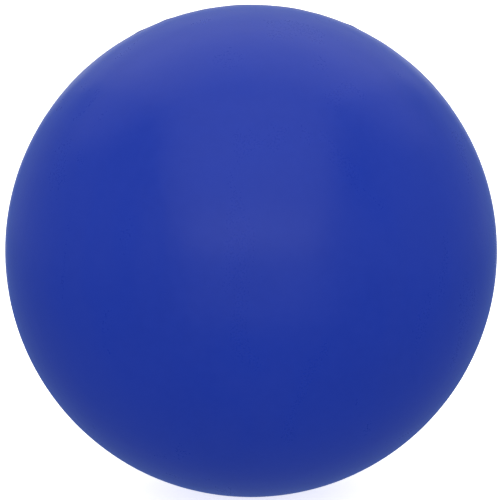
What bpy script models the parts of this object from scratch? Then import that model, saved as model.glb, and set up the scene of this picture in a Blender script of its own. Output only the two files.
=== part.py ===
"""A moulded polyurethane foam stress ball, 63 mm across, as it leaves a two-part mould.

Two coat films, one from each mould half, cover a foam core. A low bead fills the parting gap between the films, and a
dab of lacquer closes the pour gate, which was cut off flush. The cut is the ball's only flat, and the ball rests on it.

Frame: +Z up, origin at the middle of the gate flat, front film towards -Y. Metres.
"""

from math import asin, cos, pi, sin, sqrt

import bpy

# Driving dimensions
BALL_RADIUS = 0.0315
FILM_THICKNESS = 0.0006
GATE_RADIUS = 0.0045
BEAD_WIDTH = 0.0006
BEAD_PROUD = 0.00003
GAP = 0.0003

# Worked out from them
CENTRE_HEIGHT = sqrt(BALL_RADIUS**2 - GATE_RADIUS**2)
FILM_INNER_RADIUS = BALL_RADIUS - FILM_THICKNESS
CORE_RADIUS = FILM_INNER_RADIUS - GAP
CORE_FLAT_HEIGHT = FILM_THICKNESS + GAP
FILM_RIM = BEAD_WIDTH / 2 + GAP
GATE_OPENING_RADIUS = GATE_RADIUS + GAP

# Facets
AROUND_BALL = 48
AROUND_BEAD = 96
POLE_TO_RIM = 12
POLE_TO_FLAT = 24
BEAD_CROWN = 4
WELD = 0.00001

# Colours, and how matt each finish is
ROYAL_BLUE = (0.026, 0.051, 0.352, 1.0)
BEAD_BLUE = (0.021, 0.041, 0.290, 1.0)
PATCH_BLUE = (0.031, 0.060, 0.372, 1.0)
FOAM_CREAM = (0.780, 0.690, 0.500, 1.0)
SATIN, DULL, OPEN_CELL = 0.42, 0.55, 0.95

FRONT, REAR = -1, 1


def clear_scene():
    for obj in list(bpy.data.objects):
        bpy.data.objects.remove(obj, do_unlink=True)


def new_collection(name):
    collection = bpy.data.collections.new(name)
    bpy.context.scene.collection.children.link(collection)
    return collection


def new_material(name, colour, roughness):
    material = bpy.data.materials.new(name)
    material.use_nodes = True
    shader = material.node_tree.nodes["Principled BSDF"]
    shader.inputs["Base Color"].default_value = colour
    shader.inputs["Roughness"].default_value = roughness
    shader.inputs["Metallic"].default_value = 0.0
    material.diffuse_color = colour
    return material


def arc(radius, start, end, steps):
    """Points of an arc about the origin in the XZ plane. Its angles count from +X towards +Z."""
    angles = [start + (end - start) * step / steps for step in range(steps + 1)]
    return [(radius * cos(angle), radius * sin(angle)) for angle in angles]


def raised(profile, height):
    return [(x, z + height) for x, z in profile]


def turned(name, profile, around, collection, closed=False):
    """A profile of (x, z) points turned a full circle about Z. It runs down its outer side, top to bottom."""
    edges = [(point, point + 1) for point in range(len(profile) - 1)]
    if closed:
        edges.append((len(profile) - 1, 0))
    mesh = bpy.data.meshes.new(name)
    mesh.from_pydata([(x, 0.0, z) for x, z in profile], edges, [])
    obj = bpy.data.objects.new(name, mesh)
    collection.objects.link(obj)
    screw = obj.modifiers.new("turn", "SCREW")
    screw.axis = "Z"
    screw.angle = 2 * pi
    screw.steps = around
    screw.render_steps = around
    screw.use_merge_vertices = True
    screw.merge_threshold = WELD
    screw.use_smooth_shade = True
    return obj


def open_at_gate(obj, cutter):
    """Cuts away what covers the pour gate."""
    boolean = obj.modifiers.new("gate", "BOOLEAN")
    boolean.operation = "DIFFERENCE"
    boolean.solver = "EXACT"
    boolean.object = cutter


def make_gate_cutter(collection):
    """An upright plug through the bottom of the ball, a little wider than the gate."""
    reach = CENTRE_HEIGHT / 2
    profile = [(0.0, reach), (GATE_OPENING_RADIUS, reach), (GATE_OPENING_RADIUS, -reach), (0.0, -reach)]
    cutter = turned("gate_cutter", profile, AROUND_BALL, collection)
    cutter.hide_render = True
    cutter.display_type = "WIRE"
    return cutter


def make_film(name, side, cutter, collection, material):
    """One mould half's film, a bowl whose rim stops short of the bead. Its pole faces side along Y."""
    outer_rim = asin(FILM_RIM / BALL_RADIUS)
    inner_rim = asin(FILM_RIM / FILM_INNER_RADIUS)
    outer = arc(BALL_RADIUS, pi / 2, outer_rim, POLE_TO_RIM)
    inner = arc(FILM_INNER_RADIUS, inner_rim, pi / 2, POLE_TO_RIM)
    film = turned(name, outer + inner, AROUND_BALL, collection)
    film.location = (0.0, 0.0, CENTRE_HEIGHT)
    film.rotation_euler = (-side * pi / 2, 0.0, 0.0)
    film.data.materials.append(material)
    open_at_gate(film, cutter)
    return film


def make_seam_bead(cutter, collection, material):
    """The trimmed bead in the parting gap: a ring about Y with a low crown, open at the gate."""
    half = BEAD_WIDTH / 2
    crown = [
        (BALL_RADIUS + BEAD_PROUD * (1 - (z / half) ** 2), z)
        for z in [half - BEAD_WIDTH * step / BEAD_CROWN for step in range(BEAD_CROWN + 1)]
    ]
    root = [(FILM_INNER_RADIUS, -half), (FILM_INNER_RADIUS, half)]
    bead = turned("seam_bead", crown + root, AROUND_BEAD, collection, closed=True)
    bead.location = (0.0, 0.0, CENTRE_HEIGHT)
    bead.rotation_euler = (pi / 2, 0.0, 0.0)
    bead.data.materials.append(material)
    open_at_gate(bead, cutter)
    return bead


def make_foam_core(collection, material):
    """The foam body, sliced flat above the gate."""
    flat_angle = asin((CORE_FLAT_HEIGHT - CENTRE_HEIGHT) / CORE_RADIUS)
    ball = raised(arc(CORE_RADIUS, pi / 2, flat_angle, POLE_TO_FLAT), CENTRE_HEIGHT)
    core = turned("foam_core", ball + [(0.0, CORE_FLAT_HEIGHT)], AROUND_BALL, collection)
    core.data.materials.append(material)
    return core


def make_gate_patch(collection, material):
    """The lacquer dab over the gate, as thick as the films. Its underside is the flat that the ball rests on."""
    profile = [(0.0, FILM_THICKNESS), (GATE_RADIUS, FILM_THICKNESS), (GATE_RADIUS, 0.0), (0.0, 0.0)]
    patch = turned("gate_patch", profile, AROUND_BALL, collection)
    patch.data.materials.append(material)
    return patch


def main():
    clear_scene()
    parts = new_collection("stress_ball")
    cutters = new_collection("cutters")
    coat = new_material("coat_film", ROYAL_BLUE, SATIN)
    bead_coat = new_material("bead_lacquer", BEAD_BLUE, DULL)
    patch_coat = new_material("patch_lacquer", PATCH_BLUE, DULL)
    foam = new_material("open_cell_foam", FOAM_CREAM, OPEN_CELL)
    gate_cutter = make_gate_cutter(cutters)
    make_foam_core(parts, foam)
    make_film("front_skin", FRONT, gate_cutter, parts, coat)
    make_film("rear_skin", REAR, gate_cutter, parts, coat)
    make_seam_bead(gate_cutter, parts, bead_coat)
    make_gate_patch(parts, patch_coat)


main()
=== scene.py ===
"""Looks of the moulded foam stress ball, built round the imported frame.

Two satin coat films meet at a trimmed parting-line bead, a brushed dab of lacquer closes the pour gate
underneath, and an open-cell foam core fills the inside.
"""

import math

import bmesh
import bpy
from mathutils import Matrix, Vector, noise


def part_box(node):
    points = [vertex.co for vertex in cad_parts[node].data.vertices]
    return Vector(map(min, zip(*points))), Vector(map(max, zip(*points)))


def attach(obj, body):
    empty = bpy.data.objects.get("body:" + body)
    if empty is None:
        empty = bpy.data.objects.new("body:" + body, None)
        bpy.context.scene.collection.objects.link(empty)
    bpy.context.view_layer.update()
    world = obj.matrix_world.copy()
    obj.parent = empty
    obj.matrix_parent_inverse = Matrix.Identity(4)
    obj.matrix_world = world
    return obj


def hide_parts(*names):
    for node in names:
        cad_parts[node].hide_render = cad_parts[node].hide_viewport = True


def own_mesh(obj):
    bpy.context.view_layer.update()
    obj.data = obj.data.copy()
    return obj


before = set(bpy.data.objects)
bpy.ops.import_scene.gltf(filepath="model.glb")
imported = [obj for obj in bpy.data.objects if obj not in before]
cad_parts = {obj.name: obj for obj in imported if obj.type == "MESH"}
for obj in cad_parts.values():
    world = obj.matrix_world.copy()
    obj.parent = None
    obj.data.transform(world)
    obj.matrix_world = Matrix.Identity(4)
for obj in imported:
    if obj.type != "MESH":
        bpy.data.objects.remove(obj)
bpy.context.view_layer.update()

MM = 0.001

# The ball, read from the frame
FRONT_LOW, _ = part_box("front_skin")
_, PATCH_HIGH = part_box("gate_patch")
CORE_LOW, CORE_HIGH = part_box("foam_core")
BALL_RADIUS = -FRONT_LOW.y
GATE_RADIUS = PATCH_HIGH.x
FILM_THICKNESS = PATCH_HIGH.z
CENTRE = Vector((0.0, 0.0, math.sqrt(BALL_RADIUS**2 - GATE_RADIUS**2)))
CORE_RADIUS = CORE_HIGH.x
CORE_FLAT = CORE_LOW.z

# Fine sizes of the moulding
FILM_GRID = 64                  # cells along a cube edge, before it is blown up to a sphere
FILM_RIM = 0.27 * MM            # from the parting plane to the film's edge
RIM_LOOPS = (0.42 * MM, 0.62 * MM, 0.90 * MM)
RIM_BAND = 1.08 * MM            # this near the parting plane, points keep their distance to it
RIM_ROLL = 0.035 * MM           # how far the film's edge drops into the parting groove
RIM_ROLL_REACH = 0.55 * MM
CUT_SNAP = 1e-8                 # metres
GATE_OPENING = 4.65 * MM
GATE_CUTTER_HEIGHT = 6 * MM
GATE_CUTTER_SIDES = 96
SWELL_SLOW = 0.045 * MM         # out-of-round of a foam ball that has cooled in its mould
SWELL_QUICK = 0.010 * MM
BEAD_NECK = 0.23 * MM           # half width of the bead between the films' edges
BEAD_HALF_WIDTH = 0.38 * MM     # where it laps over them
BEAD_WIDTH_WANDER = 0.20        # share of the width by which the trimmed edge comes and goes
LAP_GAP = 0.004 * MM            # between the lap and the film under it
BEAD_STEPS = 720
BEAD_CROWN = 8                  # facets across the crown
BEAD_SHORT = math.radians(0.15)     # its ends stop this far short of the gate's opening
BEAD_FADE = math.radians(3.0)       # and sink into the groove over this far
BEAD_CREASE = math.radians(50)
BEAD_PROUD = 0.030 * MM
BEAD_WANDER = 0.026 * MM
VENT_PROUD = 0.090 * MM
VENT_TURNS = (-27.0, -20.0, 24.0)   # degrees off the top, where the mould's vents left nibs
VENT_WIDTH = 1.3                # degrees
BRIM_REACH = 0.75 * MM          # how far the gate lacquer was brushed over the films
BRIM_THICKNESS = 0.035 * MM
BRIM_RAGGED = 0.28              # share of its reach by which the brim comes and goes
BRIM_GAP = 0.003 * MM           # between the brim and the films
BRIM_ROOM = 0.9                 # share of the height above the floor that the brim may fill
BRIM_UNDERCUT = 0.010 * MM
PLUG_PLAY = 0.03 * MM           # round the lacquer plug, in the films' opening
PLUG_NOTCH = 0.004 * MM         # how far up inside the opening the brim starts
PATCH_STEPS = 144
PLUG_RINGS, BRIM_RINGS, FLAT_RINGS = 3, 8, 10
PATCH_CREASE = math.radians(60)
CORE_GRID = 56
CELL_DEEP = 0.16 * MM           # from the core's outer size down to the middle of an open cell
CELL_RISE = 0.10 * MM           # from there up to the walls between the cells
CORE_LUMP = 0.03 * MM

# How fine each noise is, in waves over a unit of direction
SLOW_WAVES, QUICK_WAVES = 1.1, 5.0
BEAD_WAVES, LAP_WAVES, BRIM_WAVES = 9.0, 12.0, 3.2
CELL_WAVES, LUMP_WAVES = 11.0, 3.0

# The camera: a long lens a little above the ball's middle
LENS = 150.0
SENSOR = 36.0
CAMERA_ELEVATION = 8.0
FRAME_FILL = 0.9849             # the ball's outline against the frame's half width
AIM_RIGHT = -0.140 * MM
AIM_UP = 0.130 * MM

# Colours and gloss
COAT_BLUE = (0.0018, 0.0240, 0.312)
COAT_DEEP = (0.0012, 0.0226, 0.301)
COAT_LIGHT = (0.0036, 0.0275, 0.326)
BEAD_DARK = (0.0010, 0.0180, 0.240)
COAT_ROUGHNESS = 0.30
COAT_HAZE = 0.02                # how far the roughness drifts over some millimetres
COAT_GRAIN = 0.012              # and from grain to grain
COAT_SPECULAR = 0.375
COAT_SHEEN = 0.30
COAT_SHEEN_ROUGHNESS = 0.35
SHEEN_BLUE = (0.08, 0.28, 1.0, 1.0)
FOAM_CREAM = (0.80, 0.70, 0.50)
FOAM_STRAW = (0.74, 0.62, 0.41)
# painted shade: the dark brown laid into the open cells' mouths, where shade falls
FOAM_CELL_SHADE = (0.34, 0.25, 0.14)
FLOOR_PALE = (0.80, 0.80, 0.80)
FLOOR_WHITE = (0.82, 0.82, 0.82)
FLOOR_GLOW = 0.75               # the floor is a light table, so that only a faint shadow is left on it
FLOOR_REACH = 6.0               # metres, past the edge of the picture
FLOOR_DROP = 0.05 * MM

# The studio: brightness is radiance, where 1 shows as white
FILL_BELOW = 0.83               # matt surfaces see an even fill, a little stronger from above
FILL_ABOVE = 1.06
FILL_IN_GLOSS = 0.14            # reflections see it dimmer, between the softboxes


# ---------------------------------------------------------------- materials

def new_tree(name):
    material = bpy.data.materials.new(name)
    material.use_nodes = True
    tree = material.node_tree
    tree.nodes.clear()
    return material, tree


def add(tree, kind, settings=None, **inputs):
    """A node with its settings, and its inputs set from values or linked from sockets."""
    node = tree.nodes.new("ShaderNode" + kind)
    for key, value in (settings or {}).items():
        setattr(node, key, value)
    for key, value in inputs.items():
        socket = node.inputs[key.replace("_", " ")]
        if isinstance(value, bpy.types.NodeSocket):
            tree.links.new(value, socket)
        else:
            socket.default_value = value
    return node


def place(tree, stretch=(1.0, 1.0, 1.0)):
    """Object coordinates, in metres, stretched along the axes."""
    where = add(tree, "TexCoord").outputs["Object"]
    return add(tree, "Mapping", Vector=where, Scale=stretch).outputs["Vector"]


def noise_of(tree, where, size, detail=2.0, roughness=0.5, distortion=0.0):
    """Noise whose features are about size metres across."""
    made = add(tree, "TexNoise", Vector=where, Scale=1.0 / size, Detail=detail, Roughness=roughness,
               Distortion=distortion)
    return made.outputs["Fac"]


def spread(tree, value, low, high, start=0.3, end=0.7):
    """Maps value from start..end to low..high, smoothly and without going past them."""
    made = add(tree, "MapRange", {"interpolation_type": "SMOOTHSTEP"}, Value=value,
               From_Min=start, From_Max=end, To_Min=low, To_Max=high)
    return made.outputs["Result"]


def blend_colour(tree, share, first, second):
    made = add(tree, "Mix", {"data_type": "RGBA"})
    tree.links.new(share, made.inputs["Factor"])
    for socket, value in ((made.inputs[6], first), (made.inputs[7], second)):
        if isinstance(value, bpy.types.NodeSocket):
            tree.links.new(value, socket)
        else:
            socket.default_value = (*value, 1.0)
    return made.outputs[2]


def bumped(tree, height, depth, under=None):
    """A bump depth metres deep, on top of the normal under it."""
    made = add(tree, "Bump", Strength=1.0, Distance=depth, Height=height)
    if under:
        tree.links.new(under, made.inputs["Normal"])
    return made.outputs["Normal"]


def finish_material(tree, **sockets):
    shader = add(tree, "BsdfPrincipled", **sockets)
    add(tree, "OutputMaterial", Surface=shader.outputs["BSDF"])


def coat_material():
    """Satin royal-blue lacquer sprayed into the mould, with soft orange peel and a faint powdery rim."""
    material, tree = new_tree("coat_film")
    where = place(tree)
    cloud = noise_of(tree, where, 14 * MM, detail=3.0)
    mottle = noise_of(tree, where, 1.1 * MM, detail=2.0)
    grain = noise_of(tree, where, 0.22 * MM, detail=1.0)
    broad = blend_colour(tree, spread(tree, cloud, 0.0, 1.0), COAT_DEEP, COAT_BLUE)
    colour = blend_colour(tree, spread(tree, mottle, 0.0, 0.35), broad, COAT_LIGHT)
    haze = noise_of(tree, place(tree, (1.0, 1.0, 0.35)), 6 * MM, detail=4.0, distortion=0.6)
    roughness = add(tree, "Math", {"operation": "ADD"})
    drift = spread(tree, haze, COAT_ROUGHNESS - COAT_HAZE, COAT_ROUGHNESS + COAT_HAZE)
    tree.links.new(drift, roughness.inputs[0])
    tree.links.new(spread(tree, grain, -COAT_GRAIN, COAT_GRAIN), roughness.inputs[1])
    normal = bumped(tree, noise_of(tree, where, 2.4 * MM, detail=2.0), 0.014 * MM)
    normal = bumped(tree, mottle, 0.004 * MM, normal)
    finish_material(tree, Base_Color=colour, Roughness=roughness.outputs[0], Normal=normal,
                    Specular_IOR_Level=COAT_SPECULAR, Sheen_Weight=COAT_SHEEN, Sheen_Tint=SHEEN_BLUE,
                    Sheen_Roughness=COAT_SHEEN_ROUGHNESS)
    return material


def bead_material():
    """The same lacquer where the parting line was trimmed: duller, a little darker, with fine cut marks."""
    material, tree = new_tree("bead_lacquer")
    where = place(tree)
    cuts = noise_of(tree, where, 0.5 * MM, detail=4.0, roughness=0.65)
    drift = noise_of(tree, where, 7 * MM, detail=2.0)
    tone = blend_colour(tree, spread(tree, drift, 0.0, 1.0), BEAD_DARK, COAT_DEEP)
    colour = blend_colour(tree, spread(tree, cuts, 0.0, 0.5), tone, COAT_LIGHT)
    finish_material(tree, Base_Color=colour, Roughness=spread(tree, cuts, 0.34, 0.52),
                    Normal=bumped(tree, cuts, 0.018 * MM), Specular_IOR_Level=COAT_SPECULAR)
    return material


def patch_material():
    """Touch-up lacquer laid on with a small brush: strokes one way, thin at the edge."""
    material, tree = new_tree("patch_lacquer")
    strokes = noise_of(tree, place(tree, (0.16, 1.0, 1.0)), 0.45 * MM, detail=4.0, roughness=0.6)
    pools = noise_of(tree, place(tree), 2.2 * MM, detail=2.0)
    tone = blend_colour(tree, spread(tree, pools, 0.0, 1.0), COAT_BLUE, COAT_DEEP)
    colour = blend_colour(tree, spread(tree, strokes, 0.0, 0.6), tone, COAT_LIGHT)
    normal = bumped(tree, strokes, 0.012 * MM)
    finish_material(tree, Base_Color=colour, Roughness=spread(tree, strokes, 0.30, 0.48),
                    Normal=bumped(tree, pools, 0.02 * MM, normal), Specular_IOR_Level=COAT_SPECULAR)
    return material


def foam_material():
    """Cream open-cell foam: pale walls, with painted shade darkening the mouths of the cells; fully matt."""
    material, tree = new_tree("open_cell_foam")
    where = place(tree)
    cells = add(tree, "TexVoronoi", {"feature": "DISTANCE_TO_EDGE"}, Vector=where, Scale=1 / (0.8 * MM))
    wall = spread(tree, cells.outputs["Distance"], 1.0, 0.0, start=0.03, end=0.28)
    stain = noise_of(tree, where, 9 * MM, detail=3.0)
    tone = blend_colour(tree, spread(tree, stain, 0.0, 1.0), FOAM_CREAM, FOAM_STRAW)
    # painted shade: the cells' mouths are darkened away from the walls, while the walls keep the foam's own
    # tone
    colour = blend_colour(tree, wall, FOAM_CELL_SHADE, tone)
    finish_material(tree, Base_Color=colour, Roughness=0.95, Normal=bumped(tree, wall, 0.12 * MM),
                    Specular_IOR_Level=0.2)
    return material


def floor_material():
    material, tree = new_tree("pale_floor")
    fleck = noise_of(tree, place(tree), 2 * MM, detail=3.0)
    colour = blend_colour(tree, spread(tree, fleck, 0.0, 1.0), FLOOR_PALE, FLOOR_WHITE)
    finish_material(tree, Base_Color=colour, Roughness=0.9, Specular_IOR_Level=0.1,
                    Emission_Color=(1.0, 1.0, 1.0, 1.0), Emission_Strength=FLOOR_GLOW)
    return material


# ---------------------------------------------------------------- meshes

def to_object(bm, name, material):
    bmesh.ops.recalc_face_normals(bm, faces=bm.faces)
    mesh = bpy.data.meshes.new(name)
    bm.to_mesh(mesh)
    bm.free()
    mesh.materials.append(material)
    mesh.shade_smooth()
    obj = bpy.data.objects.new(name, mesh)
    bpy.context.scene.collection.objects.link(obj)
    return obj


def apply_modifiers(obj):
    evaluated = obj.evaluated_get(bpy.context.evaluated_depsgraph_get())
    mesh = bpy.data.meshes.new_from_object(evaluated)
    obj.modifiers.clear()
    obj.data = mesh


def stitch(bm, sections, section_closed, closed):
    """Faces between neighbouring sections, each a list of as many points."""
    neighbours = list(zip(sections, sections[1:]))
    if closed:
        neighbours.append((sections[-1], sections[0]))
    for here, there in neighbours:
        for k in range(len(here) if section_closed else len(here) - 1):
            after = (k + 1) % len(here)
            bm.faces.new((here[k], here[after], there[after], there[k]))


def blown_cube(cells):
    """A cube's grid blown up to a unit sphere, with cells of nearly one size and no pole."""
    bm = bmesh.new()
    bmesh.ops.create_cube(bm, size=2.0)
    bmesh.ops.subdivide_edges(bm, edges=bm.edges, cuts=cells - 1, use_grid_fill=True)
    for vert in bm.verts:
        vert.co = Vector([math.tan(c * math.pi / 4) for c in vert.co]).normalized()
    return bm


def swell(direction):
    """How far the moulded ball stands off a true sphere in a direction.

    Here and below, a vector added inside a noise only picks which stretch of it is used.
    """
    slow = noise.noise(direction * SLOW_WAVES + Vector((3.1, 0.4, 7.7)))
    quick = noise.fractal(direction * QUICK_WAVES + Vector((1.7, 9.2, 0.3)), 1.0, 2.0, 3)
    return SWELL_SLOW * slow + SWELL_QUICK * quick


def rim_drop(across):
    """How far the film's edge rolls down into the parting groove, by its distance from the plane."""
    share = max(0.0, 1.0 - (abs(across) - FILM_RIM) / RIM_ROLL_REACH)
    return RIM_ROLL * share**2


def film(name, side, material):
    """One mould half's coat film. side is -1 for the front and 1 for the rear."""
    bm = blown_cube(FILM_GRID)
    bmesh.ops.scale(bm, vec=(BALL_RADIUS,) * 3, verts=bm.verts)
    for offset in (FILM_RIM, *RIM_LOOPS):
        geometry = [*bm.verts, *bm.edges, *bm.faces]
        bmesh.ops.bisect_plane(bm, geom=geometry, dist=CUT_SNAP, plane_co=(0.0, side * offset, 0.0),
                               plane_no=(0.0, -side, 0.0), clear_outer=offset == FILM_RIM)
    for vert in bm.verts:
        direction = vert.co.normalized()
        radius = BALL_RADIUS + swell(direction) - rim_drop(vert.co.y)
        if abs(vert.co.y) < RIM_BAND:
            around = math.sqrt(radius**2 - vert.co.y**2) / math.hypot(vert.co.x, vert.co.z)
            vert.co = Vector((vert.co.x * around, vert.co.y, vert.co.z * around))
        else:
            vert.co = direction * radius
    bmesh.ops.translate(bm, vec=CENTRE, verts=bm.verts)
    obj = to_object(bm, name, material)
    solidify = obj.modifiers.new("thickness", "SOLIDIFY")
    solidify.thickness = FILM_THICKNESS
    solidify.offset = -1.0
    opening = gate_cutter()
    boolean = obj.modifiers.new("gate", "BOOLEAN")
    boolean.operation = "DIFFERENCE"
    boolean.object = opening
    apply_modifiers(obj)
    bpy.data.objects.remove(opening)
    return obj


def gate_cutter():
    """An upright plug through the bottom of the ball, which cuts the gate's opening in a film."""
    bm = bmesh.new()
    bmesh.ops.create_cone(bm, cap_ends=True, segments=GATE_CUTTER_SIDES, radius1=GATE_OPENING,
                          radius2=GATE_OPENING, depth=GATE_CUTTER_HEIGHT)
    mesh = bpy.data.meshes.new("gate_cutter")
    bm.to_mesh(mesh)
    bm.free()
    obj = bpy.data.objects.new("gate_cutter", mesh)
    bpy.context.scene.collection.objects.link(obj)
    return obj


def bead_height(turn):
    """How proud the trimmed bead stands, by the angle off the top in radians."""
    spot = Vector((math.sin(turn), math.cos(turn), 0.0))
    wander = noise.fractal(spot * BEAD_WAVES + Vector((0.0, 0.0, 4.2)), 1.0, 2.0, 4)
    height = BEAD_PROUD + BEAD_WANDER * wander
    for vent in VENT_TURNS:
        off = (math.degrees(turn) - vent) / VENT_WIDTH
        height += (VENT_PROUD - BEAD_PROUD) * math.exp(-off * off)
    return height


def lap_width(spot, side):
    """From the parting plane to the bead's edge on one side, which wanders on its own."""
    wander = noise.fractal(spot * LAP_WAVES + Vector((0.0, 5.0 * side, 0.0)), 1.0, 2.0, 3)
    return BEAD_HALF_WIDTH * (1 + BEAD_WIDTH_WANDER * max(-1.0, min(1.0, wander)))


def bead_profile(spot, turn, proud_share):
    """The bead's crown, laps and neck, as distances from the parting plane and from the ball's middle."""
    surface = BALL_RADIUS + swell(spot)
    top = surface + bead_height(turn) * proud_share - RIM_ROLL * (1 - proud_share)
    profile = []
    for k in range(BEAD_CROWN + 1):
        share = -1 + 2 * k / BEAD_CROWN
        width = lap_width(spot, 1 if share > 0 else -1)
        edge = surface - rim_drop(width) + LAP_GAP
        profile.append((width * share, top - (top - edge) * abs(share)**3))
    under = surface - RIM_ROLL + LAP_GAP
    root = BALL_RADIUS - FILM_THICKNESS
    return profile + [(BEAD_NECK, under), (BEAD_NECK, root), (-BEAD_NECK, root), (-BEAD_NECK, under)]


def seam_bead(material):
    """The trimmed bead: a crowned strip round the parting plane, from one side of the gate to the other."""
    gate_turn = math.pi - math.asin(GATE_OPENING / BALL_RADIUS) - BEAD_SHORT
    bm = bmesh.new()
    sections = []
    for step in range(BEAD_STEPS + 1):
        turn = -gate_turn + 2 * gate_turn * step / BEAD_STEPS
        spot = Vector((math.sin(turn), 0.0, math.cos(turn)))
        proud_share = min(1.0, (gate_turn - abs(turn)) / BEAD_FADE)
        sections.append([bm.verts.new(CENTRE + spot * radius + Vector((0.0, across, 0.0)))
                         for across, radius in bead_profile(spot, turn, proud_share)])
    stitch(bm, sections, section_closed=True, closed=False)
    bm.faces.new(sections[0])
    bm.faces.new(reversed(sections[-1]))
    obj = to_object(bm, "seam_bead_trimmed", material)
    obj.data.set_sharp_from_angle(angle=BEAD_CREASE)
    return obj


def ball_underside(radius):
    """Height of the ball's outer surface at a distance from the upright axis."""
    return CENTRE.z - math.sqrt(BALL_RADIUS**2 - radius**2)


def patch_profile(reach):
    """Radii and heights of the patch: over the plug, out below the films' edge, and back along the flat."""
    plug = GATE_OPENING - PLUG_PLAY
    profile = [(plug * k / PLUG_RINGS, FILM_THICKNESS) for k in range(1, PLUG_RINGS + 1)]
    profile.append((plug, ball_underside(plug) + PLUG_NOTCH))
    for k in range(1, BRIM_RINGS + 1):
        radius = plug + reach * k / BRIM_RINGS
        profile.append((radius, ball_underside(radius) - BRIM_GAP))
    for k in range(BRIM_RINGS, -1, -1):
        radius = plug + reach * k / BRIM_RINGS
        share = math.sqrt(1 - (k / BRIM_RINGS) ** 2)
        thickness = min(BRIM_THICKNESS, BRIM_ROOM * ball_underside(radius)) * share
        undercut = BRIM_UNDERCUT if k == BRIM_RINGS else 0.0
        profile.append((radius - undercut, ball_underside(radius) - 2 * BRIM_GAP - thickness))
    profile += [(plug * k / FLAT_RINGS, 0.0) for k in range(FLAT_RINGS - 1, 0, -1)]
    return [(radius, max(height, 0.0)) for radius, height in profile]


def gate_patch(material):
    """The lacquer over the sliced gate: a plug in the films' opening with a thin brushed brim."""
    bm = bmesh.new()
    sections = []
    for step in range(PATCH_STEPS):
        angle = 2 * math.pi * step / PATCH_STEPS
        spot = Vector((math.cos(angle), math.sin(angle), 0.0))
        ragged = noise.fractal(spot * BRIM_WAVES + Vector((0.0, 0.0, 2.0)), 1.0, 2.0, 4)
        profile = patch_profile(BRIM_REACH * (1 + BRIM_RAGGED * ragged))
        sections.append([bm.verts.new((spot.x * radius, spot.y * radius, height))
                         for radius, height in profile])
    stitch(bm, sections, section_closed=False, closed=True)
    for level, ring in ((FILM_THICKNESS, 0), (0.0, -1)):
        middle = bm.verts.new((0.0, 0.0, level))
        for here, there in zip(sections, sections[1:] + sections[:1]):
            bm.faces.new((middle, here[ring], there[ring]))
    obj = to_object(bm, "gate_patch_brushed", material)
    obj.data.set_sharp_from_angle(angle=PATCH_CREASE)
    return obj


def foam_core(material):
    """The foam body: a lumpy ball with the mouths of its larger cells open, sliced flat at the gate."""
    bm = blown_cube(CORE_GRID)
    for vert in bm.verts:
        direction = vert.co.normalized()
        cell = noise.voronoi(direction * CELL_WAVES)[0][0]
        lump = noise.fractal(direction * LUMP_WAVES, 1.0, 2.0, 3)
        radius = CORE_RADIUS - CELL_DEEP + CELL_RISE * min(cell, 1.0) + CORE_LUMP * lump
        point = CENTRE + direction * radius
        vert.co = Vector((point.x, point.y, max(point.z, CORE_FLAT)))
    return to_object(bm, "foam_core_open_cell", material)


# ---------------------------------------------------------------- stage, light and camera

def floor():
    """A white light table that only the camera sees: it neither lights the ball nor shows in its gloss."""
    bm = bmesh.new()
    bmesh.ops.create_grid(bm, x_segments=4, y_segments=4, size=FLOOR_REACH)
    obj = to_object(bm, "floor", floor_material())
    obj.location.z = -FLOOR_DROP
    obj.visible_diffuse = obj.visible_glossy = obj.visible_shadow = False


def softbox(name, azimuth, elevation, distance, reach, brightness):
    """A soft panel facing the ball from a direction in degrees. Its half sizes are reach times the distance.

    A panel's power is its radiance times pi times its area.
    """
    light = bpy.data.lights.new(name, "AREA")
    light.shape = "RECTANGLE"
    light.size, light.size_y = (2 * distance * share for share in reach)
    light.energy = brightness * math.pi * light.size * light.size_y
    obj = bpy.data.objects.new(name, light)
    bpy.context.scene.collection.objects.link(obj)
    turn, rise = math.radians(azimuth), math.radians(elevation)
    back = Vector((math.sin(turn) * math.cos(rise), -math.cos(turn) * math.cos(rise), math.sin(rise)))
    obj.location = CENTRE + back * distance
    obj.rotation_euler = back.to_track_quat("Z", "Y").to_euler()
    obj.visible_camera = False


def studio_fill():
    """A white surround for the camera, an even fill for matt surfaces and a dim one for reflections."""
    world = bpy.data.worlds.new("studio")
    world.use_nodes = True
    world.cycles.sampling_method = "NONE"
    tree = world.node_tree
    rays = add(tree, "LightPath")
    height = add(tree, "SeparateXYZ", Vector=add(tree, "TexCoord").outputs["Generated"]).outputs["Z"]
    fill = add(tree, "MapRange", Value=height, From_Min=-1.0, From_Max=1.0,
               To_Min=FILL_BELOW, To_Max=FILL_ABOVE)
    strength = fill.outputs["Result"]
    for kind, seen in (("Is Glossy Ray", FILL_IN_GLOSS), ("Is Camera Ray", 1.0)):
        mix = add(tree, "Mix", {"data_type": "FLOAT"})
        tree.links.new(rays.outputs[kind], mix.inputs[0])
        tree.links.new(strength, mix.inputs[2])
        mix.inputs[3].default_value = seen
        strength = mix.outputs[0]
    background = tree.nodes["Background"]
    background.inputs["Color"].default_value = (1.0, 1.0, 1.0, 1.0)
    tree.links.new(strength, background.inputs["Strength"])
    bpy.context.scene.world = world


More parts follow.
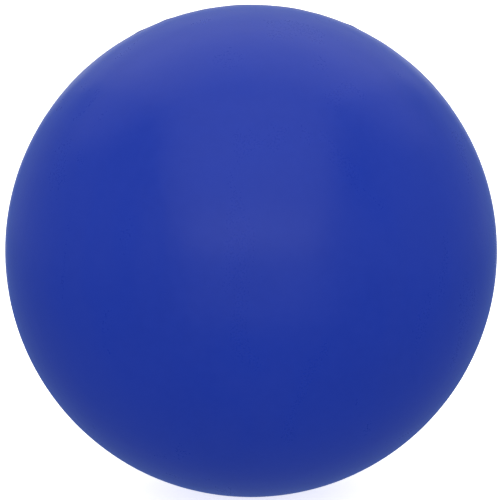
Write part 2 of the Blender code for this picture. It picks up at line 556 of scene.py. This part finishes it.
def lights():
    """Each softbox: its name, azimuth, elevation, distance, half sizes as shares of that, and radiance."""
    softbox("rear", 180, 60, 0.6, (0.72, 0.80), 0.33)
    softbox("top", 180, 68, 0.6, (1.45, 0.39), 0.32)
    softbox("front", 0, 44, 0.7, (0.71, 0.75), 0.56)
    softbox("front_low", 0, 0, 0.7, (0.62, 0.44), 0.27)
    softbox("left", -95, 13, 0.7, (1.47, 0.35), 0.08)
    softbox("right", 95, 13, 0.7, (1.47, 0.35), 0.08)
    softbox("backdrop", 180, 2, 0.7, (0.36, 0.22), 0.62)
    studio_fill()


def camera():
    """Stands so far back that the ball's outline fills FRAME_FILL of the frame."""
    data = bpy.data.cameras.new("camera")
    data.lens = LENS
    data.sensor_width = SENSOR
    obj = bpy.data.objects.new("camera", data)
    bpy.context.scene.collection.objects.link(obj)
    reach = LENS / (SENSOR / 2 * FRAME_FILL)
    distance = BALL_RADIUS * math.sqrt(1 + reach**2)
    elevation = math.radians(CAMERA_ELEVATION)
    back = Vector((0.0, -math.cos(elevation), math.sin(elevation)))
    up = Vector((0.0, math.sin(elevation), math.cos(elevation)))
    aim = CENTRE + Vector((AIM_RIGHT, 0.0, 0.0)) + up * AIM_UP
    obj.location = CENTRE + back * distance
    obj.rotation_euler = (obj.location - aim).to_track_quat("Z", "Y").to_euler()
    data.clip_start, data.clip_end = 0.01, 20.0
    bpy.context.scene.camera = obj
    bpy.context.scene.view_settings.view_transform = "Standard"


# ---------------------------------------------------------------- assembly

def flatten(piece):
    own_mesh(piece)


def build():
    coat = coat_material()
    front = film("front_film", -1, coat)
    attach(front, "front_side")
    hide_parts("front_skin")
    flatten(front)

    rear = film("rear_film", 1, coat)
    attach(rear, "rear_side")
    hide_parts("rear_skin")
    flatten(rear)

    bead = seam_bead(bead_material())
    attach(bead, "core")
    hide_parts("seam_bead")
    flatten(bead)

    patch = gate_patch(patch_material())
    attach(patch, "core")
    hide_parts("gate_patch")
    flatten(patch)

    core = foam_core(foam_material())
    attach(core, "core")
    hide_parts("foam_core")
    flatten(core)


camera()
lights()
floor()
build()
